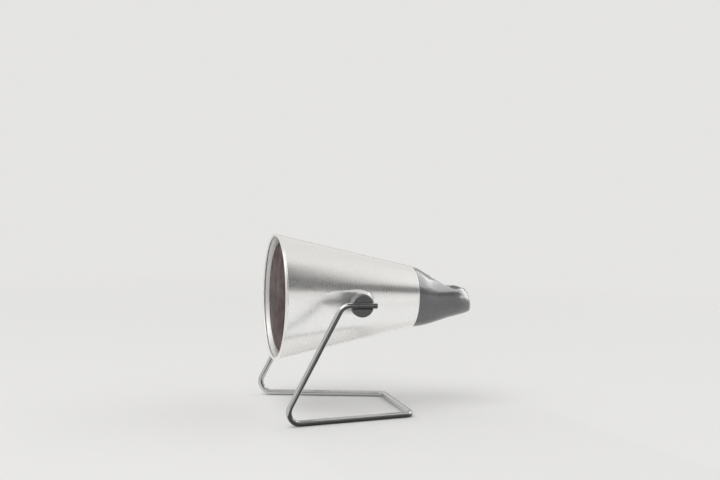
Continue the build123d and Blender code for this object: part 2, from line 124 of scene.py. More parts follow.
def revolved(section: np.ndarray, turns: np.ndarray) -> np.ndarray:
    """Surface of revolution about the head axis.

    A section point (radius, y) at a turn t lies at (radius cos t, y, radius sin t).

    Args:
        section: (radius, y) rows, shape (n, 2).
        turns: angles in radians, shape (m,), or (n, m) where each row has its own.

    Returns:
        Grid of points, shape (n, m, 3).
    """
    radius, along = section[:, :1], section[:, 1:]
    rows = np.broadcast_to(along, (len(section), turns.shape[-1]))
    return np.stack([radius * np.cos(turns), rows, radius * np.sin(turns)], -1)


def full_turn(count: int) -> np.ndarray:
    """Equally spaced turns round a circle, without the repeated last one."""
    return np.arange(count) * (2 * math.pi / count)


@dataclass
class Patch:
    """Grid of points in millimetres about the pivot, shape (rows, columns, 3), that becomes quads.

    Rows follow each other along a section and columns go round it.
    """

    points: np.ndarray
    wrap_rows: bool = False
    wrap_columns: bool = True

    def corners(self) -> tuple[np.ndarray, np.ndarray]:
        """Row and column of each quad's four corners, before wrapping.

        Returns:
            Two arrays of shape (quads, 4).
        """
        rows, columns = self.points.shape[:2]
        row = np.arange(rows if self.wrap_rows else rows - 1)
        column = np.arange(columns if self.wrap_columns else columns - 1)
        i, j = (part.reshape(-1, 1) for part in np.meshgrid(row, column, indexing="ij"))
        return i + np.array([0, 1, 1, 0]), j + np.array([0, 0, 1, 1])

    def faces(self, first: int) -> np.ndarray:
        """Vertex numbers of the quads.

        Args:
            first: number of the grid's first vertex.

        Returns:
            Numbers, shape (quads, 4).
        """
        rows, columns = self.points.shape[:2]
        i, j = self.corners()
        return first + (i % rows) * columns + j % columns

    def layout(self) -> np.ndarray:
        """Corner coordinates, u along a row and v from row to row.

        Returns:
            Coordinates from 0 to 1, shape (corners, 2).
        """
        rows, columns = self.points.shape[:2]
        i, j = self.corners()
        return np.stack([j / columns, i / rows], -1).reshape(-1, 2)


def make_piece(name: str, patches: list[Patch], body: str | None, crease: float = 38.0) -> bpy.types.Object:
    """Mesh object from patches, merged where they meet and smooth except along creases.

    Args:
        name: object name.
        patches: grids that make up the piece.
        body: CAD body that it rides on, or None for a thing of the studio.
        crease: angle in degrees above which an edge stays sharp.

    Returns:
        The object, at the origin, with its place in its mesh.
    """
    points = np.concatenate([patch.points.reshape(-1, 3) for patch in patches]) * MM + PIVOT
    starts = np.cumsum([0] + [patch.points.shape[0] * patch.points.shape[1] for patch in patches[:-1]])
    faces = np.concatenate([patch.faces(start) for patch, start in zip(patches, starts)])
    mesh = bpy.data.meshes.new(name)
    mesh.vertices.add(len(points))
    mesh.vertices.foreach_set("co", points.ravel())
    mesh.loops.add(faces.size)
    mesh.loops.foreach_set("vertex_index", faces.ravel())
    mesh.polygons.add(len(faces))
    mesh.polygons.foreach_set("loop_start", np.arange(len(faces)) * 4)
    mesh.update(calc_edges=True)
    mesh.validate()
    around = mesh.uv_layers.new(name="around")
    around.data.foreach_set("uv", np.concatenate([patch.layout() for patch in patches]).ravel())
    editable = bmesh.new()
    editable.from_mesh(mesh)
    bmesh.ops.remove_doubles(editable, verts=editable.verts, dist=MERGE_DISTANCE)
    bmesh.ops.recalc_face_normals(editable, faces=editable.faces)
    editable.to_mesh(mesh)
    editable.free()
    mesh.polygons.foreach_set("use_smooth", np.ones(len(mesh.polygons), bool))
    mesh.set_sharp_from_angle(angle=math.radians(crease))
    piece = bpy.data.objects.new(name, mesh)
    bpy.context.scene.collection.objects.link(piece)
    if body:
        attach(piece, body)
    return piece


# ---------------------------------------------------------------- finishes


class Shader:
    """One node material under construction, with short calls for the nodes that the finishes share."""

    def __init__(self, name: str) -> None:
        """Start a material with a Principled surface.

        Args:
            name: material name.
        """
        self.material = bpy.data.materials.new(name)
        self.material.use_nodes = True
        self.tree = self.material.node_tree
        self.tree.nodes.clear()
        self.surface = self.tree.nodes.new("ShaderNodeBsdfPrincipled")
        output = self.tree.nodes.new("ShaderNodeOutputMaterial")
        self.join(self.surface.outputs[0], output.inputs[0])
        self.place = self.tree.nodes.new("ShaderNodeTexCoord").outputs["Object"]

    def join(self, source: Socket, target: Socket) -> None:
        """Link one socket to another."""
        self.tree.links.new(source, target)

    def feed(self, target: Socket, value: Value) -> None:
        """Link a socket, or set a constant, on an input.

        Args:
            target: input to fill.
            value: socket, number, vector or colour for it.
        """
        if isinstance(value, Socket):
            self.join(value, target)
        else:
            target.default_value = value

    def set(self, **constants: float) -> None:
        """Constants on the Principled surface, by input name with underscores for spaces."""
        for name, value in constants.items():
            self.surface.inputs[name.replace("_", " ")].default_value = value

    def math(self, operation: str, a: Value, b: Value = 0.0) -> Socket:
        """Result of one Math node.

        Args:
            operation: the node's operation.
            a: first number or socket.
            b: second number or socket.

        Returns:
            The node's output.
        """
        node = self.tree.nodes.new("ShaderNodeMath")
        node.operation = operation
        self.feed(node.inputs[0], a)
        self.feed(node.inputs[1], b)
        return node.outputs[0]

    def length(self, a: Socket, b: Socket) -> Socket:
        """Root of the sum of two squares."""
        squares = self.math("ADD", self.math("MULTIPLY", a, a), self.math("MULTIPLY", b, b))
        return self.math("SQRT", squares)

    def centred(self, turn: Place = (0.0, 0.0, 0.0), scale: Place = (1.0, 1.0, 1.0)) -> Socket:
        """Object place measured from the pivot.

        Args:
            turn: turns about x, y and z, in radians.
            scale: scale of each axis.

        Returns:
            The place as a vector.
        """
        node = self.tree.nodes.new("ShaderNodeMapping")
        node.inputs["Location"].default_value = [-p * s for p, s in zip(PIVOT, scale)]
        node.inputs["Rotation"].default_value = turn
        node.inputs["Scale"].default_value = scale
        self.join(self.place, node.inputs["Vector"])
        return node.outputs[0]

    def axes(self, vector: Socket) -> list[Socket]:
        """Split a vector.

        Args:
            vector: vector to split.

        Returns:
            Its x, y and z.
        """
        node = self.tree.nodes.new("ShaderNodeSeparateXYZ")
        self.join(vector, node.inputs[0])
        return list(node.outputs)

    def vector(self, x: Value, y: Value, z: Value) -> Socket:
        """Join three numbers or sockets.

        Args:
            x: first part.
            y: second part.
            z: third part.

        Returns:
            The vector.
        """
        node = self.tree.nodes.new("ShaderNodeCombineXYZ")
        for target, value in zip(node.inputs, (x, y, z)):
            self.feed(target, value)
        return node.outputs[0]

    def noise(self, vector: Socket, scale: float, detail: float = 3.0, rough: float = 0.5) -> Socket:
        """Height of one Noise Texture.

        Args:
            vector: place to read it at.
            scale: lumps per metre.
            detail: number of finer layers.
            rough: how strong each finer layer is.

        Returns:
            The height, from 0 to 1.
        """
        node = self.tree.nodes.new("ShaderNodeTexNoise")
        self.feed(node.inputs["Vector"], vector)
        node.inputs["Scale"].default_value = scale
        node.inputs["Detail"].default_value = detail
        node.inputs["Roughness"].default_value = rough
        return node.outputs[0]

    def cells(self, scale: float) -> Socket:
        """Cells of a Voronoi Texture over the object.

        Args:
            scale: cells per metre.

        Returns:
            Distance to the nearest cell's point.
        """
        node = self.tree.nodes.new("ShaderNodeTexVoronoi")
        self.feed(node.inputs["Vector"], self.place)
        node.inputs["Scale"].default_value = scale
        return node.outputs["Distance"]

    def spread(self, value: Value, low: float, high: float,
               to_low: float = 0.0, to_high: float = 1.0) -> Socket:
        """Map a value from one range to another and hold it there.

        Args:
            value: number or socket to map.
            low: value that becomes to_low.
            high: value that becomes to_high.
            to_low: result at and before low.
            to_high: result at and past high.

        Returns:
            The mapped value.
        """
        node = self.tree.nodes.new("ShaderNodeMapRange")
        for target, number in zip(node.inputs, (value, low, high, to_low, to_high)):
            self.feed(target, number)
        return node.outputs[0]

    def blend(self, share: Value, a: Value, b: Value) -> Socket:
        """Mix two colours.

        Args:
            share: 0 for the first colour and 1 for the second.
            a: first colour or socket.
            b: second colour or socket.

        Returns:
            The mixed colour.
        """
        node = self.tree.nodes.new("ShaderNodeMix")
        node.data_type = "RGBA"
        self.feed(node.inputs[0], share)
        for target, colour in ((node.inputs[6], a), (node.inputs[7], b)):
            self.feed(target, (*colour, 1.0) if isinstance(colour, tuple) else colour)
        return node.outputs[2]

    def bump(self, height: Socket, depth: float, under: Socket | None = None) -> Socket:
        """Normal from a height field.

        Args:
            height: heights from 0 to 1.
            depth: full swing of the height, in millimetres.
            under: normal that it is laid over.

        Returns:
            The bumped normal.
        """
        node = self.tree.nodes.new("ShaderNodeBump")
        node.inputs["Strength"].default_value = 1.0
        node.inputs["Distance"].default_value = depth * MM
        self.join(height, node.inputs["Height"])
        if under is not None:
            self.join(under, node.inputs["Normal"])
        return node.outputs[0]

    def wear(self, colour: Value, rough: Value, normal: Socket | None = None) -> bpy.types.Material:
        """Give the surface its colour, roughness and normal.

        Args:
            colour: colour or socket.
            rough: roughness or socket.
            normal: bumped normal, if it has one.

        Returns:
            The finished material.
        """
        self.feed(self.surface.inputs["Base Color"], colour)
        self.feed(self.surface.inputs["Roughness"], rough)
        if normal is not None:
            self.join(normal, self.surface.inputs["Normal"])
        return self.material


def shaded(colour: Colour, share: float) -> Colour:
    """The colour, lighter or darker by a share."""
    return tuple(min(1.0, part * share) for part in colour)


class Grain(Enum):
    """Which way the fine lines of a metal run."""

    NONE = "no lines"
    ROUND_HEAD = "rings round the head axis"
    ROUND_PIVOT = "rings round the pivot axis"
    ALONG_WIRE = "lines along a drawn wire"


@dataclass(frozen=True)
class Metal:
    """Bare or plated metal with fine working lines, dull patches and pits.

    Sizes are in millimetres. A range holds the noise heights where a mark starts and where it is
    full. The lining, on a conical wall, holds the radius of the wall's middle at the pivot and its
    growth towards the mouth: the inner face then has its own roughness and no streaked highlight.
    """

    name: str
    colour: Colour
    stain: Colour
    roughness: float
    grain: Grain = Grain.NONE
    pitch: float = 0.4
    line_depth: float = 0.002
    line_range: Range = (0.2, 0.8)
    line_tones: Range = (0.965, 1.02)
    line_roughness: Range = (0.94, 1.06)
    wire_lines: Range = (40.0, 9.0)
    ring_drift: float = 0.012
    stain_share: float = 0.25
    patch: float = 14.0
    patch_range: Range = (0.42, 0.78)
    patch_roughness: float = 0.04
    pit: float = 0.9
    pit_range: Range = (0.68, 0.76)
    anisotropy: float = 0.0
    quarter_turn: float = 0.25
    lining: Range | None = None
    lining_roughness: float = 0.55
    lining_edge: float = 0.3

    def lines(self, shader: Shader) -> Socket:
        """Noise drawn out along the grain.

        Args:
            shader: material under construction.

        Returns:
            Height of the lines, from 0 to 1.
        """
        fine = 1 / (self.pitch * MM)
        if self.grain is Grain.ALONG_WIRE:
            around = shader.tree.nodes.new("ShaderNodeUVMap")
            around.uv_map = "around"
            u, v, _ = shader.axes(around.outputs[0])
            drawn = (shader.math("MULTIPLY", part, count) for part, count in zip((u, v), self.wire_lines))
            return shader.noise(shader.vector(*drawn, 0.0), 1.0, 4.0)
        if self.grain is Grain.NONE:
            return shader.noise(shader.place, fine, 4.0)
        x, y, z = shader.axes(shader.centred())
        along, across = (y, x) if self.grain is Grain.ROUND_HEAD else (x, y)
        drift = shader.math("MULTIPLY", shader.math("ADD", across, z), self.ring_drift)
        return shader.noise(shader.vector(along, shader.length(across, z), drift), fine, 5.0, 0.65)

    def inside(self, shader: Shader) -> Socket:
        """Which face of a conical wall a place is on.

        It compares the place's distance from the head axis with the radius of the wall's middle.

        Args:
            shader: material under construction.

        Returns:
            1 on the inner face and 0 on the outer face.
        """
        radius_here, slope = self.lining
        x, y, z = shader.axes(shader.centred())
        middle = shader.math("SUBTRACT", radius_here * MM, shader.math("MULTIPLY", y, slope))
        edge = self.lining_edge * MM
        return shader.spread(shader.math("SUBTRACT", middle, shader.length(x, z)), -edge, edge)

    def spun(self, shader: Shader, rough: Socket) -> Socket:
        """Streak the outer face's highlight along the head axis, and roughen the inner face.

        Args:
            shader: material under construction.
            rough: roughness of the outer face.

        Returns:
            Roughness of both faces.
        """
        inside = self.inside(shader)
        streaks = shader.math("MULTIPLY", shader.math("SUBTRACT", 1.0, inside), self.anisotropy)
        shader.join(streaks, shader.surface.inputs["Anisotropic"])
        shader.set(Anisotropic_Rotation=self.quarter_turn)
        tangent = shader.tree.nodes.new("ShaderNodeTangent")
        tangent.direction_type = "UV_MAP"
        tangent.uv_map = "around"
        shader.join(tangent.outputs[0], shader.surface.inputs["Tangent"])
        rougher = shader.math("MULTIPLY", inside, self.lining_roughness - self.roughness)
        return shader.math("ADD", rough, rougher)

    def material(self) -> bpy.types.Material:
        """Build the node material.

        Returns:
            The material.
        """
        shader = Shader(self.name)
        shader.set(Metallic=1.0)
        lines = self.lines(shader)
        patches = shader.spread(shader.noise(shader.place, 1 / (self.patch * MM), 2.0), *self.patch_range)
        pits = shader.spread(shader.noise(shader.place, 1 / (self.pit * MM), 2.0), *self.pit_range)
        bare = shader.blend(lines, *(shaded(self.colour, tone) for tone in self.line_tones))
        marks = (shader.math("MULTIPLY", mark, self.stain_share) for mark in (patches, pits))
        colour = shader.blend(shader.math("MAXIMUM", *marks), bare, self.stain)
        smooth, coarse = (self.roughness * share for share in self.line_roughness)
        rough = shader.math("ADD", shader.spread(lines, *self.line_range, smooth, coarse),
                            shader.math("MULTIPLY", patches, self.patch_roughness))
        if self.lining:
            rough = self.spun(shader, rough)
        return shader.wear(colour, rough, shader.bump(lines, self.line_depth))


@dataclass(frozen=True)
class Moulding:
    """Moulded plastic, rubber or fibre: fine skin texture, mottling, rubbed patches and dust.

    Sizes are in millimetres. A range holds the noise heights where a mark starts and where it is
    full. The mottle swells by mottle_swell times the skin's depth.
    """

    name: str
    colour: Colour
    rubbed: Colour
    roughness: float
    skin: float = 0.9
    skin_depth: float = 0.006
    mottle: float = 22.0
    mottle_swell: float = 3.0
    mottle_tones: Range = (0.9, 1.1)
    mottle_roughness: Range = (0.88, 1.12)
    speck: float = 0.35
    speck_range: Range = (0.68, 0.74)
    speck_share: float = 0.3
    scuff_turn: Place = (0.3, 0.2, 0.5)
    scuff_scale: Place = (60.0, 500.0, 500.0)
    scuff_range: Range = (0.58, 0.78)
    rubbed_share: float = 0.35
    rubbed_roughness: float = 0.3
    coat: float = 0.0
    gloss: float = 0.5

    def material(self) -> bpy.types.Material:
        """Build the node material.

        Returns:
            The material.
        """
        shader = Shader(self.name)
        shader.set(IOR=1.5, Specular_IOR_Level=self.gloss, Coat_Weight=self.coat, Coat_Roughness=0.12)
        skin = shader.noise(shader.place, 1 / (self.skin * MM), 3.0)
        cloud = shader.noise(shader.place, 1 / (self.mottle * MM), 5.0, 0.6)
        scuffs = shader.noise(shader.centred(self.scuff_turn, self.scuff_scale), 1.0, 5.0, 0.7)
        specks = shader.spread(shader.noise(shader.place, 1 / (self.speck * MM), 2.0), *self.speck_range)
        rubbed = shader.math("MULTIPLY", shader.spread(scuffs, *self.scuff_range), self.rubbed_share)
        base = shader.blend(cloud, *(shaded(self.colour, tone) for tone in self.mottle_tones))
        marked = shader.blend(shader.math("MULTIPLY", specks, self.speck_share), base, self.rubbed)
        colour = shader.blend(rubbed, marked, self.rubbed)
        smooth, coarse = (self.roughness * share for share in self.mottle_roughness)
        rough = shader.math("ADD", shader.spread(cloud, *MIDDLE_HEIGHTS, smooth, coarse),
                            shader.math("MULTIPLY", rubbed, self.rubbed_roughness))
        normal = shader.bump(skin, self.skin_depth, shader.bump(cloud, self.skin_depth * self.mottle_swell))
        return shader.wear(colour, rough, normal)


@dataclass(frozen=True)
class Glass:
    """Pressed glass, coloured in the mass or silvered, with a faint stipple and flow lines."""

    name: str
    colour: Colour
    deep: Colour
    roughness: float
    metallic: float = 0.0
    gloss: float = 0.5
    stipple: float = 2.4
    stipple_depth: float = 0.05
    flow: float = 18.0
    flow_roughness: Range = (0.7, 1.3)

    def material(self) -> bpy.types.Material:
        """Build the node material.

        Returns:
            The material.
        """
        shader = Shader(self.name)
        shader.set(IOR=1.5, Metallic=self.metallic, Specular_IOR_Level=self.gloss)
        dimples = shader.cells(1 / (self.stipple * MM))
        flow = shader.noise(shader.place, 1 / (self.flow * MM), 4.0, 0.6)
        colour = shader.blend(flow, self.deep, self.colour)
        smooth, coarse = (self.roughness * share for share in self.flow_roughness)
        return shader.wear(colour, shader.spread(flow, *MIDDLE_HEIGHTS, smooth, coarse),
                           shader.bump(dimples, self.stipple_depth))


@dataclass(frozen=True)
class Porcelain:
    """Fired, glazed porcelain with iron specks and a fine craze."""

    name: str
    colour: Colour
    iron: Colour
    speck: float = 0.8
    speck_range: Range = (0.7, 0.76)
    speck_share: float = 0.5
    cloud: float = 9.0
    cloud_tone: float = 0.94
    craze: float = 3.5
    craze_range: Range = (0.0, 0.6)
    craze_depth: float = 0.01
    roughness: Range = (0.16, 0.28)

    def material(self) -> bpy.types.Material:
        """Build the node material.

        Returns:
            The material.
        """
        shader = Shader(self.name)
        shader.set(IOR=1.52, Coat_Weight=0.7, Coat_Roughness=0.06)
        specks = shader.spread(shader.noise(shader.place, 1 / (self.speck * MM), 2.0), *self.speck_range)
        tone = shader.noise(shader.place, 1 / (self.cloud * MM), 4.0)
        craze = shader.spread(shader.cells(1 / (self.craze * MM)), *self.craze_range)
        body = shader.blend(tone, shaded(self.colour, self.cloud_tone), self.colour)
        colour = shader.blend(shader.math("MULTIPLY", specks, self.speck_share), body, self.iron)
        return shader.wear(colour, shader.spread(tone, *MIDDLE_HEIGHTS, *self.roughness),
                           shader.bump(craze, self.craze_depth))


Finish = Metal | Moulding | Glass | Porcelain
BUILT_FINISHES: dict[Finish, bpy.types.Material] = {}

ALUMINIUM = Metal("satin_aluminium", (0.91, 0.905, 0.89), (0.80, 0.79, 0.77), 0.27, Grain.ROUND_HEAD,
                  pitch=0.35, line_depth=0.0012, stain_share=0.12, anisotropy=0.6)
CHROME = Metal("chrome_plate", (0.58, 0.585, 0.584), (0.42, 0.40, 0.38), 0.07, Grain.ALONG_WIRE,
               line_depth=0.0008, stain_share=0.12, patch=8.0)
ZINC = Metal("zinc_plate", (0.66, 0.66, 0.63), (0.55, 0.50, 0.38), 0.34, pitch=0.8, stain_share=0.4)
SPRING_STEEL = Metal("blued_spring_steel", (0.22, 0.22, 0.26), (0.16, 0.13, 0.12), 0.3,
                     Grain.ROUND_PIVOT)
SHIELD = Metal("heat_shield_plate", (0.78, 0.77, 0.75), (0.50, 0.46, 0.40), 0.28, Grain.ROUND_HEAD,
               stain_share=0.4)
BRASS = Metal("turned_brass", (0.72, 0.54, 0.26), (0.40, 0.27, 0.13), 0.27, Grain.ROUND_HEAD,
              stain_share=0.45)
NICKEL = Metal("nickel_plate", (0.70, 0.67, 0.61), (0.44, 0.38, 0.30), 0.2, Grain.ROUND_HEAD,
               stain_share=0.3)
TUNGSTEN = Metal("tungsten_wire", (0.30, 0.30, 0.31), (0.16, 0.15, 0.16), 0.45, pitch=0.3)
CAP_PLASTIC = Moulding("grey_cap_moulding", (0.070, 0.070, 0.072), (0.15, 0.15, 0.15), 0.27,
                       coat=0.5, gloss=1.0)
KNOB_PLASTIC = Moulding("black_knob_moulding", (0.095, 0.095, 0.096), (0.16, 0.16, 0.16), 0.38,
                        skin=0.5, gloss=0.4)
RUBBER = Moulding("black_rubber", (0.020, 0.020, 0.020), (0.07, 0.07, 0.065), 0.72, skin=0.4)
FIBRE = Moulding("grey_fibre", (0.075, 0.075, 0.073), (0.15, 0.15, 0.14), 0.62, skin=0.3,
                 skin_depth=0.02, mottle=3.0)
INSULATOR = Moulding("black_glass_insulator", (0.020, 0.018, 0.022), (0.08, 0.07, 0.08), 0.14,
                     skin_depth=0.002)
RUBY_GLASS = Glass("ruby_lens_glass", (0.052, 0.020, 0.019), (0.040, 0.015, 0.015), 0.36, gloss=0.06)
SILVERED = Glass("silvered_glass", (0.86, 0.86, 0.84), (0.76, 0.75, 0.73), 0.12, metallic=1.0)
PORCELAIN = Porcelain("glazed_porcelain", (0.84, 0.81, 0.74), (0.30, 0.22, 0.15))

NODE_FINISHES: dict[str, Finish] = {
    "cord_bush": RUBBER,
    "heat_shield": SHIELD,
    "lampholder_bracket": ZINC,
    "bracket_screws": ZINC,
    "bracket_nuts": ZINC,
    "cap_screws": ZINC,
    "holder_screws": ZINC,
    "terminal_screws": BRASS,
    "earth_screw": BRASS,
    "lampholder_body": PORCELAIN,
    "lampholder_sleeve": NICKEL,
    "lampholder_contact": BRASS,
    "bulb_reflector": SILVERED,
    "bulb_lens": RUBY_GLASS,
    "bulb_skirt": NICKEL,
    "bulb_screw_cap": NICKEL,
    "bulb_insulator": INSULATOR,
    "bulb_contact": BRASS,
    "bulb_filament": TUNGSTEN,
    "filament_leads": NICKEL,
    "knob_left": KNOB_PLASTIC,
    "knob_right": KNOB_PLASTIC,
    "knob_inserts": BRASS,
    "pivot_screws": ZINC,
    "friction_washers": FIBRE,
    "flat_washers": ZINC,
    "spring_washers": SPRING_STEEL,
}


def dress(piece: bpy.types.Object, finish: Finish) -> None:
    """Put one finish on a whole piece.

    Args:
        piece: CAD node or made piece.
        finish: what it is made of.
    """
    if finish not in BUILT_FINISHES:
        BUILT_FINISHES[finish] = finish.material()
    material = BUILT_FINISHES[finish]
    if not piece.material_slots:
        piece.data.materials.append(material)
    for place in piece.material_slots:
        place.material = material


# ---------------------------------------------------------------- shade


@dataclass
class Shade:
    """Spun aluminium cone with a rolled rim, a rear flange and two pressed pivot flats.

    The wall's rings are dense from dense_from to dense_to and less so as far as flats_end. The last
    one lies last_ring of the bead's radius behind the bead's middle.
    """

    seam_radius: float = 34.8
    wall: float = 1.0
    bead: float = 1.6
    seam_corner: float = 1.5
    flange_bore: float = 23.6
    flat_proud: float = 5.2
    flat_half_width: float = 11.5
    flat_behind: float = 19.5
    flat_draft: float = 12.0
    flat_edge: float = 0.8
    foot_round: float = 1.4
    deepest_fall: float = 8.0
    side_start: float = 20.0
    dense_from: float = 24.0
    dense_to: float = -3.0
    flats_end: float = -38.0
    last_ring: float = 0.99
    ring_steps: tuple[int, ...] = (14, 84, 30, 10)
    corner_steps: int = 7
    bead_steps: int = 30
    edge_inside: float = 1.3
    edge_outside: float = 2.1
    fine_reach: float = 19.0
    fine_steps: tuple[int, ...] = (7, 16, 6)
    coarse_steps: int = 39

    def __post_init__(self) -> None:
        """Read the places of the mouth and the seam from the frame."""
        low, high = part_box("shade")
        self.mouth_radius = (high.z - low.z) / 2 / MM
        self.seam = (high.y - PIVOT[1]) / MM
        self.mouth = (low.y - PIVOT[1]) / MM + self.bead
        self.bead_radius = self.mouth_radius - self.bead
        self.slope = (self.bead_radius + self.wall / 2 - self.seam_radius) / (self.seam - self.mouth)
        self.flat_face = self.seam_radius + self.slope * self.seam + self.flat_proud

    def cone(self, y: np.ndarray) -> np.ndarray:
        """Outside radius of the cone at places on the head axis."""
        return self.seam_radius + self.slope * (self.seam - y)

    def bead_turn(self, inset: float) -> float:
        """Where one face of the wall meets the bead's circle.

        The face is a line of the cone's slope, and its crossing with the circle is the larger root
        of a quadratic.

        Args:
            inset: distance of the face from the outside.

        Returns:
            Angle on the circle, in degrees.
        """
        offset = self.cone(self.mouth) - inset - self.bead_radius
        a, b, c = 1 + self.slope**2, -2 * offset * self.slope, offset**2 - self.bead**2
        reach = (-b + math.sqrt(b * b - 4 * a * c)) / (2 * a)
        return math.degrees(math.atan2(reach, offset - self.slope * reach))

    def stations(self) -> np.ndarray:
        """Places along the wall, closer together where the flats are pressed.

        Returns:
            Places on the head axis, from the seam's corner to the bead, shape (n,).
        """
        stops = (self.seam - self.seam_corner, self.dense_from, self.dense_to, self.flats_end,
                 self.mouth + self.bead * self.last_ring)
        last = len(self.ring_steps) - 1
        runs = [np.linspace(stops[k], stops[k + 1], steps, endpoint=k == last)
                for k, steps in enumerate(self.ring_steps)]
        return np.concatenate(runs)

    def section(self) -> tuple[np.ndarray, np.ndarray]:
        """Closed outline of the wall, from the flange bore over the outside, the bead and the inside.

        Returns:
            (radius, y) rows, and how far each row follows the pressed flats: 1 outside, the wall
            thickness further in inside, and 0 off the wall.
        """
        outer_y = self.stations()
        skin = self.wall * math.hypot(1, self.slope)
        outer = np.stack([self.cone(outer_y), outer_y], -1)
        inner_y = outer_y[::-1]
        inner_y = np.concatenate([inner_y[:-1], [self.seam - self.wall]])
        inner = np.stack([self.cone(inner_y) - skin, inner_y], -1)
        first, last = self.bead_turn(0.0), self.bead_turn(skin) - 360
        outer[-1] = arc((self.bead_radius, self.mouth), self.bead, first, first, 1)[0]
        inner[0] = arc((self.bead_radius, self.mouth), self.bead, last, last, 1)[0]
        curl = arc((self.bead_radius, self.mouth), self.bead, first, last, self.bead_steps)[1:-1]
        lean = math.degrees(math.atan(self.slope))
        middle = outer[0, 0] - self.seam_corner * math.cos(math.radians(lean))
        corner_centre = (middle, self.seam - self.seam_corner)
        corner = arc(corner_centre, self.seam_corner, 90, lean, self.corner_steps)[:-1]
        rear = np.array([[self.flange_bore, self.seam]])
        front = np.array([[self.flange_bore, self.seam - self.wall]])
        rows = np.concatenate([rear, corner, outer, curl, inner, front])
        depth = np.concatenate([np.full(len(rear) + len(corner), -1.0), np.zeros(len(outer)),
                                np.full(len(curl), -1.0), np.full(len(inner), self.wall), [-1.0]])
        return rows, depth

    def turns(self, radius: np.ndarray) -> np.ndarray:
        """Turns round the head axis, closer together at the edges of the two flats.

        Across a flat each column keeps its height z, so its turn is asin(z / radius).

        Args:
            radius: radius of each row, shape (rows, 1).

        Returns:
            Turns in radians, shape (rows, columns).
        """
        stops = (0.0, self.flat_half_width - self.edge_inside, self.flat_half_width + self.edge_outside,
                 self.fine_reach)
        runs = [np.linspace(stops[k], stops[k + 1], steps) for k, steps in enumerate(self.fine_steps)]
        half = np.concatenate([runs[0], *(run[1:] for run in runs[1:])])
        fine = np.arcsin(np.concatenate([-half[:0:-1], half]) / radius)
        edge = fine[:, -1:]
        coarse = edge + (math.pi - 2 * edge) * np.arange(1, self.coarse_steps) / self.coarse_steps
        return np.concatenate([fine, coarse, fine + math.pi, coarse + math.pi], axis=1)

    def pressed(self, points: np.ndarray, depth: np.ndarray) -> np.ndarray:
        """Push the wall out along x into the flats.

        The flat is the plane x = flat_face inside an outline, a bar of half-width flat_half_width
        that ends in a half ellipse behind the pivot, and falls off at the draft angle outside it.
        The wall takes the larger of the cone and that shape, with rounds at the top edge and foot.

        Args:
            points: grid of the plain wall, shape (rows, columns, 3).
            depth: distance of each row from the outside, or -1 off the wall, shape (rows,).

        Returns:
            The pressed grid.
        """
        x, y, z = np.moveaxis(points, -1, 0)
        inset = depth[:, None]
        lean = math.radians(self.flat_draft)
        radius = self.flat_half_width - inset * (1 / math.cos(lean) - math.tan(lean))
        from_bar = np.hypot(np.maximum(y, 0) * self.flat_half_width / self.flat_behind, z)
        fall = (from_bar - radius) / math.tan(lean)
        face = self.flat_face - inset
        height = soft_min(face - np.maximum(fall, -self.deepest_fall), face + 0 * x, self.flat_edge)
        reached = soft_max(height, np.abs(x), self.foot_round)
        on_wall = (inset >= 0) & (np.abs(x) > self.side_start)
        moved = np.where(on_wall, np.sign(x) * reached, x)
        return np.stack([moved, y, z], -1)

    def build(self) -> bpy.types.Object:
        """Make the shade in place of its CAD node.

        Returns:
            The shade.
        """
        rows, depth = self.section()
        points = self.pressed(revolved(rows, self.turns(rows[:, :1])), depth)
        piece = make_piece("shade_spinning", [Patch(points, wrap_rows=True)], "head")
        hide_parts("shade")
        middle = self.cone(np.array(0.0)) - self.wall * math.hypot(1, self.slope) / 2
        dress(piece, replace(ALUMINIUM, lining=(float(middle), self.slope)))
        return piece


# ---------------------------------------------------------------- rear cap


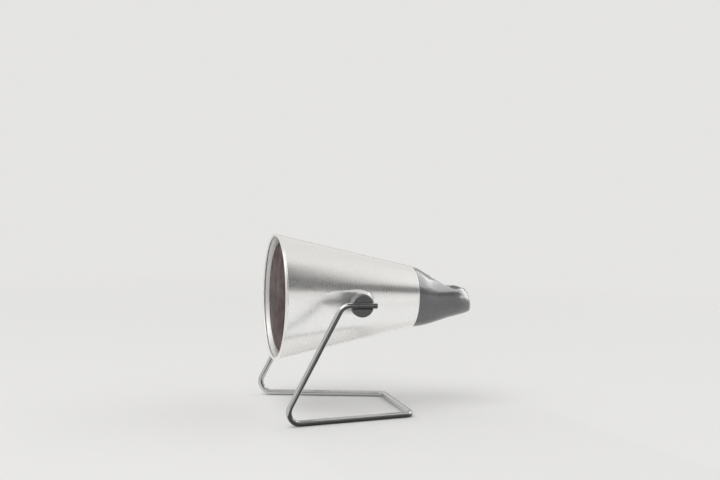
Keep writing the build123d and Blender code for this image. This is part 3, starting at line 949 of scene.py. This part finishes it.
@dataclass
class RearCap:
    """Moulded rear cap: a round seam that runs into a low tongue with a thumb scoop.

    A station holds a share of the length, the heights of the top and the bottom and the half width
    there in seam radii, and the exponent of the section. The saddle line holds a share of the
    length and a height in seam radii.
    """

    radius: float = 34.4
    length: float = 70.0
    wall: float = 2.2
    solid_tip: float = 8.0
    inlet_low: float = 0.284
    counterbore: float = 6.25
    counterbore_depth: float = 1.4
    bore: float = 4.95
    scoop_back: float = 49.8
    scoop_half_width: float = 19.1
    scoop_half_length: float = 16.8
    scoop_half_depth: float = 12.0
    scoop_lift: float = 19.2
    scoop_slope: float = 12.0
    clear_above: float = 40.0
    edge_round: float = 0.7
    columns: int = 168
    row_shares: tuple[float, ...] = (0.0, 0.3, 0.9, 1.0)
    row_steps: tuple[int, ...] = (22, 80, 26)
    inside_steps: int = 40
    edge_share: float = 0.12
    crease: float = 32.0

    stations = np.array([
        (0.000, 1.000, -1.000, 1.000, 2.00),
        (0.100, 0.935, -0.982, 0.980, 2.03),
        (0.250, 0.760, -0.922, 0.919, 2.12),
        (0.420, 0.645, -0.818, 0.837, 2.25),
        (0.600, 0.610, -0.709, 0.760, 2.25),
        (0.780, 0.515, -0.619, 0.665, 2.25),
        (0.900, 0.310, -0.561, 0.510, 2.25),
        (0.965, 0.105, -0.522, 0.380, 2.25),
        (1.000, -0.070, -0.498, 0.262, 2.25),
    ])
    saddle = np.array([
        (0.30, 0.660), (0.45, 0.490), (0.57, 0.360), (0.73, 0.315),
        (0.86, 0.325), (0.94, 0.205), (1.01, -0.050),
    ])

    def __post_init__(self) -> None:
        """Read the seam from the frame."""
        self.seam = (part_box("rear_cap")[0].y - PIVOT[1]) / MM
        self.tip_low = self.inlet_low * self.radius

    def outline(self, back: np.ndarray, turns: np.ndarray, inset: float) -> np.ndarray:
        """Super-ellipse sections, cut down to the saddle line and hollowed by the scoop.

        A section's point at a turn t is (w |cos t|^p, h |sin t|^p) with the signs of cos t and
        sin t. Its height is then held under the saddle line, and under the lower side of the
        scoop's ellipsoid where it lies inside that.

        Args:
            back: distances behind the seam, shape (rows,).
            turns: angles in radians, shape (columns,).
            inset: distance inwards from the outside.

        Returns:
            Grid of points, shape (rows, columns, 3).
        """
        share = back / self.length
        top, bottom, half, exponent = (smooth_curve(self.stations[:, 0], column, share)
                                       for column in self.stations.T[1:])
        power = (2 / exponent)[:, None]
        high = ((top - bottom) / 2 * self.radius - inset)[:, None]
        wide = (half * self.radius - inset)[:, None]
        x = wide * np.sign(np.cos(turns)) * np.abs(np.cos(turns)) ** power
        rise = high * np.sign(np.sin(turns)) * np.abs(np.sin(turns)) ** power
        z = ((top + bottom) / 2 * self.radius)[:, None] + rise
        line = smooth_curve(self.saddle[:, 0], self.saddle[:, 1], share) * self.radius - inset
        line = np.where(share < self.saddle[0, 0], 2 * self.radius, line)[:, None]
        upper = np.sin(turns) > 0
        z = np.where(upper, soft_min(z, line + 0 * z, self.edge_round), z)
        floor = self.scoop_floor(x, back[:, None] + 0 * x, inset)
        z = np.where(upper, soft_min(z, floor, self.edge_round), z)
        return np.stack([x, np.broadcast_to(self.seam + back[:, None], x.shape), z], -1)

    def scoop_floor(self, x: np.ndarray, back: np.ndarray, inset: float) -> np.ndarray:
        """Lower side of the tilted ellipsoid over a place, far above the cap off it.

        Along a vertical line the ellipsoid is a quadratic in z, and the lower root is its floor.

        Args:
            x: places across, any shape.
            back: distances behind the seam, the same shape.
            inset: how much the ellipsoid is grown.

        Returns:
            Heights, the same shape.
        """
        sizes = (self.scoop_half_width, self.scoop_half_length, self.scoop_half_depth)
        a, b, c = (size + inset for size in sizes)
        lean = math.radians(-self.scoop_slope)
        along = back - self.scoop_back
        quad = math.sin(lean) ** 2 / b**2 + math.cos(lean) ** 2 / c**2
        linear = 2 * along * math.sin(lean) * math.cos(lean) * (1 / b**2 - 1 / c**2)
        rest = x**2 / a**2 + along**2 * (math.cos(lean) ** 2 / b**2 + math.sin(lean) ** 2 / c**2) - 1
        inside = linear**2 - 4 * quad * rest
        floor = self.scoop_lift + (-linear - np.sqrt(np.maximum(inside, 0))) / (2 * quad)
        return np.where(inside > 0, floor, self.scoop_lift + self.clear_above)

    def bore_ring(self, radius: float, back: float, turns: np.ndarray) -> np.ndarray:
        """One circle of the cord inlet.

        Args:
            radius: its radius.
            back: distance behind the seam.
            turns: angles in radians, shape (columns,).

        Returns:
            Points, shape (1, columns, 3).
        """
        ring = revolved(np.array([[radius, self.seam + back]]), turns)
        ring[..., 2] -= self.tip_low
        return ring

    def build(self) -> bpy.types.Object:
        """Make the closed shell: outside, blunt end, cord inlet, inside and seam edge.

        Returns:
            The rear cap.
        """
        turns = full_turn(self.columns)
        last = len(self.row_steps) - 1
        runs = [np.linspace(self.row_shares[k], self.row_shares[k + 1], steps, endpoint=k == last)
                for k, steps in enumerate(self.row_steps)]
        outside = self.outline(np.concatenate(runs) * self.length, turns, 0.0)
        lip = self.bore_ring(self.counterbore, self.length, turns)
        edge = outside[-1:] + self.edge_share * (lip - outside[-1:])
        sunk = self.length - self.counterbore_depth
        inner_end = self.length - self.solid_tip
        inlet = [lip, self.bore_ring(self.counterbore, sunk, turns), self.bore_ring(self.bore, sunk, turns),
                 self.bore_ring(self.bore, inner_end, turns)]
        inside = self.outline(np.linspace(inner_end, 0, self.inside_steps), turns, self.wall)
        grid = np.concatenate([outside, edge, *inlet, inside])
        piece = make_piece("rear_cap_moulding", [Patch(grid, wrap_rows=True)], "head", self.crease)
        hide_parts("rear_cap")
        dress(piece, CAP_PLASTIC)
        return piece


# ---------------------------------------------------------------- stand


@dataclass
class WireStand:
    """One bent, chromed wire: a stub in each knob, two legs, two floor runs and a cross-bar."""

    radius: float = 3.25
    offset: float = 85.0
    stub_behind: float = 16.0
    bend_ahead: float = 21.0
    foot_ahead: float = 83.5
    rear_behind: float = 68.0
    rear_offset: float = 55.0
    bend_radius: float = 12.0
    foot_radius: float = 13.0
    rear_radius: float = 8.0
    end_chamfer: float = 0.5
    columns: int = 40
    bend_steps: int = 17
    level: float = 1e-6

    def corner(self, before: np.ndarray, at: np.ndarray, after: np.ndarray, radius: float) -> np.ndarray:
        """Points of the arc that rounds one corner of the centre line.

        The arc's centre lies on the corner's bisector, radius / sin(half angle) from the corner.

        Args:
            before: point on the run that comes in.
            at: the sharp corner.
            after: point on the run that goes out.
            radius: radius of the centre line.

        Returns:
            Points from one tangent point to the other, shape (bend_steps, 3).
        """
        into = (before - at) / np.linalg.norm(before - at)
        out = (after - at) / np.linalg.norm(after - at)
        half = math.acos(np.clip(into @ out, -1, 1)) / 2
        bisector = (into + out) / np.linalg.norm(into + out)
        centre = at + bisector * radius / math.sin(half)
        across = (into - out) / np.linalg.norm(into - out)
        swing = np.linspace(math.pi / 2 - half, half - math.pi / 2, self.bend_steps)[:, None]
        return centre - radius * (bisector * np.cos(swing) - across * np.sin(swing))

    def centre_line(self) -> np.ndarray:
        """Half of the centre line, from the cut end on the +x side to the middle of the cross-bar.

        Returns:
            Points, shape (n, 3).
        """
        floor = self.radius - PIVOT[2] / MM
        knots = np.array([
            (self.offset, self.stub_behind, 0.0), (self.offset, -self.bend_ahead, 0.0),
            (self.offset, -self.foot_ahead, floor), (self.rear_offset, self.rear_behind, floor),
            (0.0, self.rear_behind, floor),
        ])
        radii = (self.bend_radius, self.foot_radius, self.rear_radius)
        arcs = [self.corner(*knots[k:k + 3], radius) for k, radius in enumerate(radii)]
        return np.concatenate([knots[:1], *arcs, knots[-1:]])

    def tube(self, line: np.ndarray) -> np.ndarray:
        """Tube along the half line, with a chamfered cut end.

        Each ring lies square to the line, spanned by the direction that is square to it and to x
        on the stub, leg and floor run, and by the vertical from there on.

        Args:
            line: centre line, shape (n, 3).

        Returns:
            Grid of points, shape (n + 3, columns, 3).
        """
        forward = np.gradient(line, axis=0)
        forward[0], forward[-1] = line[1] - line[0], line[-1] - line[-2]
        forward /= np.linalg.norm(forward, axis=1, keepdims=True)
        upright = np.cross(forward, np.array([1.0, 0.0, 0.0]))
        on_floor = (np.abs(forward[:, 2]) < self.level) & (line[:, 2] < -self.radius)
        upright[on_floor] = (0.0, 0.0, -1.0)
        upright /= np.linalg.norm(upright, axis=1, keepdims=True)
        side = np.cross(forward, upright)
        turns = full_turn(self.columns)[:, None]
        spokes = np.cos(turns) * upright[:, None] + np.sin(turns) * side[:, None]
        rings = line[:, None] + self.radius * spokes
        end = line[0] + self.end_chamfer * forward[0]
        shrink = (self.radius - self.end_chamfer) / self.radius
        face = line[0] + shrink * (rings[0] - line[0])
        shoulder = rings[0] - line[0] + end
        centre = np.broadcast_to(line[0], face.shape)
        return np.concatenate([[centre, face, shoulder], rings[1:]])

    def build(self) -> bpy.types.Object:
        """Make the wire in place of its CAD node.

        Returns:
            The wire.
        """
        half = self.tube(self.centre_line())
        other = half[::-1] * np.array([-1.0, 1.0, 1.0])
        piece = make_piece("stand_wire_bend", [Patch(np.concatenate([half, other[1:]]))], "stand")
        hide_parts("stand_wire")
        dress(piece, CHROME)
        return piece


# ---------------------------------------------------------------- studio


HEAD = ("shade_spinning", "rear_cap_moulding")
CAP = ("rear_cap_moulding",)
KNOBS = ("knob_left", "knob_right", "friction_washers")
SHADE_AND_WIRE = ("shade_spinning", "stand_wire_bend")


@dataclass(frozen=True)
class Softbox:
    """One rectangular area light: where it hangs and its size in metres, and its power in watts.

    With only, it lights those pieces alone. The roll turns it in its own plane, in degrees. It looks
    at the middle of the lamp, or straight up where it is lying. A highlight shows only in gloss
    reflections. With backing, a card of that shade hangs just behind it, so the pieces that it
    doesn't light see a dark panel there.
    """

    name: str
    place: Place
    size: Range
    power: float
    only: tuple[str, ...] = ()
    roll: float = 0.0
    lying: bool = False
    highlight: bool = False
    backing: float = 0.0


@dataclass(frozen=True)
class StandingFlag:
    """Dark card bent to part of a sphere round the pivot.

    Headings are in degrees round from -y towards +x. Low and high hold the heights of the lower and
    upper edge at the first and last heading, in degrees above the horizon. The reach is in millimetres.
    """

    name: str
    shade: float
    heading: float
    spread: float
    low: Range
    high: Range
    reach: float = 2400.0
    rows: int = 24
    columns: int = 48

    def grid(self) -> np.ndarray:
        """Points of the card.

        A point at heading a and height b lies at reach (sin a cos b, -cos a cos b, sin b), and the
        heights run between two edges that are straight in these angles.

        Returns:
            Grid in millimetres about the pivot, shape (rows, columns, 3).
        """
        places = np.linspace(0, 1, self.rows), np.linspace(0, 1, self.columns)
        up, along = np.meshgrid(*places, indexing="ij")
        turn = np.radians(self.heading + self.spread * (2 * along - 1))
        low, high = ((1 - along) * edge[0] + along * edge[1] for edge in (self.low, self.high))
        rise = np.radians(low + up * (high - low))
        across, ahead = np.sin(turn) * np.cos(rise), -np.cos(turn) * np.cos(rise)
        return self.reach * np.stack([across, ahead, np.sin(rise)], -1)


SOFTBOXES = [
    Softbox("top_softbox", (1.0, -1.4, 2.9), (2.1, 2.1), 30.0),
    Softbox("rear_strip", (-0.32, 1.83, 1.45), (1.9, 0.45), 4.0),
    Softbox("cap_softbox", (0.20, 1.40, 2.04), (4.0, 1.84), 60.0, CAP, roll=-9.0, highlight=True),
    Softbox("tip_softbox", (0.0, 2.32, 0.72), (3.0, 1.2), 39.0, CAP, highlight=True),
    Softbox("floor_panel", (0.3986, 0.0992, 0.0008), (0.70, 0.33), 0.55, HEAD, roll=11.18, lying=True,
            highlight=True, backing=0.11),
    Softbox("low_panel", (0.541, 0.323, 0.080), (0.50, 0.15), 0.18, HEAD, highlight=True, backing=0.11),
    Softbox("side_panel", (1.477, 0.26, 0.20), (0.97, 0.53), 1.27, HEAD, highlight=True, backing=0.09),
    Softbox("knob_softbox", (0.02, -1.30, 0.50), (0.28, 1.0), 32.0, KNOBS),
    Softbox("under_panel", (-0.03, 0.010, 0.0008), (0.18, 0.33), 0.027, SHADE_AND_WIRE, roll=11.18,
            lying=True, highlight=True),
]
FLAGS = [
    StandingFlag("band_flag", 0.16, heading=140.0, spread=36.0, low=(18.0, 9.0), high=(52.0, 12.0)),
    StandingFlag("front_band_flag", 0.06, heading=110.0, spread=22.0, low=(36.0, 34.0),
                 high=(78.0, 62.0), reach=490.0),
    StandingFlag("wire_flag", 0.05, heading=73.0, spread=10.0, low=(-20.0, -20.0), high=(13.0, 13.0)),
    StandingFlag("bar_flag", 0.05, heading=-106.0, spread=16.0, low=(-4.0, -4.0), high=(9.0, 9.0)),
]


@dataclass
class Studio:
    """Pale floor and surround, the soft lights, and the dark cards that only reflections see.

    Lengths are in metres. The floor fades out between two distances from the lamp.
    """

    floor_colour: Colour = (0.86, 0.855, 0.84)
    floor_rings: tuple[float, ...] = (0.0, 0.2, 0.6, 1.2, 2.0, 3.0, 4.0)
    floor_columns: int = 96
    floor_grain: float = 260.0
    floor_tone: float = 0.99
    floor_roughness: Range = (0.75, 0.85)
    floor_gloss: float = 0.1
    fade_start: float = 0.35
    fade_end: float = 1.6
    surround: Colour = (0.785, 0.78, 0.765)
    fill: float = 0.70
    aim: Place = (0.0, 0.0, 0.1)
    card_weave: float = 90.0
    card_tone: float = 1.1
    card_roughness: Range = (0.9, 1.0)
    backing_gap: float = 0.0004
    backing_columns: int = 6

    def floor(self) -> bpy.types.Object:
        """Round floor whose outer part turns clear, so no horizon shows.

        Returns:
            The floor.
        """
        turns = full_turn(self.floor_columns)
        ring = np.array(self.floor_rings)[:, None]
        grid = np.stack([ring * np.cos(turns), ring * np.sin(turns), 0 * ring * turns], -1) / MM
        floor = make_piece("floor", [Patch(grid - PIVOT / MM)], None)
        shader = Shader("pale_floor")
        grain = shader.noise(shader.place, self.floor_grain, 3.0)
        colour = shader.blend(grain, shaded(self.floor_colour, self.floor_tone), self.floor_colour)
        shader.wear(colour, shader.spread(grain, *MIDDLE_HEIGHTS, *self.floor_roughness))
        shader.set(Specular_IOR_Level=self.floor_gloss)
        x, y, _ = shader.axes(shader.place)
        clear = shader.tree.nodes.new("ShaderNodeBsdfTransparent")
        mix = shader.tree.nodes.new("ShaderNodeMixShader")
        shader.join(shader.spread(shader.length(x, y), self.fade_start, self.fade_end), mix.inputs[0])
        shader.join(shader.surface.outputs[0], mix.inputs[1])
        shader.join(clear.outputs[0], mix.inputs[2])
        output = next(node for node in shader.tree.nodes if node.type == "OUTPUT_MATERIAL")
        shader.join(mix.outputs[0], output.inputs[0])
        floor.data.materials.append(shader.material)
        return floor

    def world(self) -> None:
        """Plain surround: pale to the camera and in reflections, and the fill light for the rest."""
        world = bpy.data.worlds.new("surround")
        bpy.context.scene.world = world
        world.use_nodes = True
        tree = world.node_tree
        tree.nodes.clear()
        seen, fill = (tree.nodes.new("ShaderNodeBackground") for _ in range(2))
        white = (1.0, 1.0, 1.0)
        for background, colour, strength in ((seen, self.surround, 1.0), (fill, white, self.fill)):
            background.inputs[0].default_value = (*colour, 1.0)
            background.inputs[1].default_value = strength
        ray = tree.nodes.new("ShaderNodeLightPath")
        sharp = ray.outputs["Is Camera Ray"]
        for name in ("Is Glossy Ray", "Is Transmission Ray"):
            either = tree.nodes.new("ShaderNodeMath")
            either.operation = "MAXIMUM"
            tree.links.new(sharp, either.inputs[0])
            tree.links.new(ray.outputs[name], either.inputs[1])
            sharp = either.outputs[0]
        mix = tree.nodes.new("ShaderNodeMixShader")
        output = tree.nodes.new("ShaderNodeOutputWorld")
        tree.links.new(sharp, mix.inputs[0])
        tree.links.new(fill.outputs[0], mix.inputs[1])
        tree.links.new(seen.outputs[0], mix.inputs[2])
        tree.links.new(mix.outputs[0], output.inputs[0])

    def softbox(self, box: Softbox) -> bpy.types.Object:
        """Hang one area light.

        Args:
            box: what to hang.

        Returns:
            The light.
        """
        light = bpy.data.lights.new(box.name, "AREA")
        light.shape = "RECTANGLE"
        light.size, light.size_y = box.size
        light.energy = box.power
        hung = bpy.data.objects.new(box.name, light)
        bpy.context.scene.collection.objects.link(hung)
        hung.location = box.place
        roll = math.radians(box.roll)
        look = Vector(self.aim) - Vector(box.place)
        turned = look.to_track_quat("-Z", "Y") @ Quaternion((0.0, 0.0, 1.0), roll)
        hung.rotation_euler = (math.pi, 0.0, roll) if box.lying else turned.to_euler()
        hung.visible_camera = False
        hung.visible_diffuse = not box.highlight
        if box.only:
            lit = bpy.data.collections.new(box.name + "_receivers")
            for name in box.only:
                lit.objects.link(bpy.data.objects[name])
            hung.light_linking.receiver_collection = lit
        if box.backing:
            self.back(box, np.array(hung.rotation_euler.to_matrix()))
        return hung

    def back(self, box: Softbox, turn: np.ndarray) -> bpy.types.Object:
        """Hang a card just behind a light, over all of it.

        Args:
            box: the light.
            turn: the light's rotation matrix.

        Returns:
            The card.
        """
        edge = np.linspace(-0.5, 0.5, self.backing_columns)
        across, along = np.meshgrid(edge * box.size[0], edge * box.size[1])
        grid = np.stack([across, along, 0 * across + self.backing_gap], -1) @ turn.T + np.array(box.place)
        return self.card(box.name + "_backing", (grid - PIVOT) / MM, box.backing)

    def card(self, name: str, grid: np.ndarray, shade: float) -> bpy.types.Object:
        """Put up one dark card that only reflections see.

        Args:
            name: object name.
            grid: its points in millimetres about the pivot, shape (rows, columns, 3).
            shade: grey of its cloth.

        Returns:
            The card.
        """
        card = make_piece(name, [Patch(grid, wrap_columns=False)], None)
        shader = Shader(name + "_cloth")
        weave = shader.noise(shader.place, self.card_weave, 3.0)
        cloth = (shade, shade, shade)
        colour = shader.blend(weave, cloth, shaded(cloth, self.card_tone))
        shader.wear(colour, shader.spread(weave, *MIDDLE_HEIGHTS, *self.card_roughness))
        shader.set(Specular_IOR_Level=0.0)
        card.data.materials.append(shader.material)
        card.visible_camera = False
        card.visible_diffuse = False
        card.visible_shadow = False
        card.visible_transmission = False
        return card

    def build(self) -> None:
        """Make the floor, the surround, the lights and the cards, once the pieces are there to link."""
        bpy.context.scene.view_settings.view_transform = "Standard"
        self.floor()
        self.world()
        for box in SOFTBOXES:
            self.softbox(box)
        for flag in FLAGS:
            self.card(flag.name, flag.grid(), flag.shade)


@dataclass
class StudioCamera:
    """Plain camera: its place, its heading and its focal length in image pixels.

    The place is in millimetres from the floor under the pivot, and the angles are in degrees.
    """

    place: Place = (1105.65, -285.47, 253.14)
    azimuth: float = 74.732
    elevation: float = 4.027
    roll: float = -1.663
    focal_pixels: float = 1022.40
    axis_x_pixels: float = 357.75
    axis_y_pixels: float = 255.93
    image_width: float = 720.0
    image_height: float = 480.0
    sensor: float = 36.0
    clip: Range = (0.05, 20.0)

    def build(self) -> bpy.types.Object:
        """Make the camera and set it for the scene.

        Returns:
            The camera.
        """
        data = bpy.data.cameras.new("studio_camera")
        data.sensor_width = self.sensor
        data.lens = self.focal_pixels * self.sensor / self.image_width
        data.shift_x = (self.image_width / 2 - self.axis_x_pixels) / self.image_width
        data.shift_y = (self.axis_y_pixels - self.image_height / 2) / self.image_width
        data.clip_start, data.clip_end = self.clip
        camera = bpy.data.objects.new("studio_camera", data)
        bpy.context.scene.collection.objects.link(camera)
        turn, rise, roll = (math.radians(angle) for angle in (self.azimuth, self.elevation, self.roll))
        back = Vector((math.sin(turn) * math.cos(rise), -math.cos(turn) * math.cos(rise), math.sin(rise)))
        right = (-back).cross(Vector((0, 0, 1))).normalized()
        down = (-back).cross(right)
        across = right * math.cos(roll) + down * math.sin(roll)
        below = -right * math.sin(roll) + down * math.cos(roll)
        x, y, z = (part * MM for part in self.place)
        axes = Matrix((across, -below, back)).transposed().to_4x4()
        camera.matrix_world = Matrix.Translation((x, y + PIVOT[1], z)) @ axes
        bpy.context.scene.camera = camera
        return camera


# ---------------------------------------------------------------- assembly


def dress_cad_nodes() -> None:
    """Give every CAD node that stays its finish."""
    for name, finish in NODE_FINISHES.items():
        dress(frame["nodes"][name], finish)
        log.info("%s: %s", name, finish.name)


def main() -> None:
    """Build the camera, every sub-assembly and the studio in order, and report each piece."""
    logging.basicConfig(level=logging.INFO, format="%(name)s: %(message)s")
    StudioCamera().build()
    dress_cad_nodes()
    for maker in (Shade(), RearCap(), WireStand()):
        piece = maker.build()
        log.info("%s: %d faces", piece.name, len(piece.data.polygons))
    Studio().build()


if __name__ == "__main__":
    main()
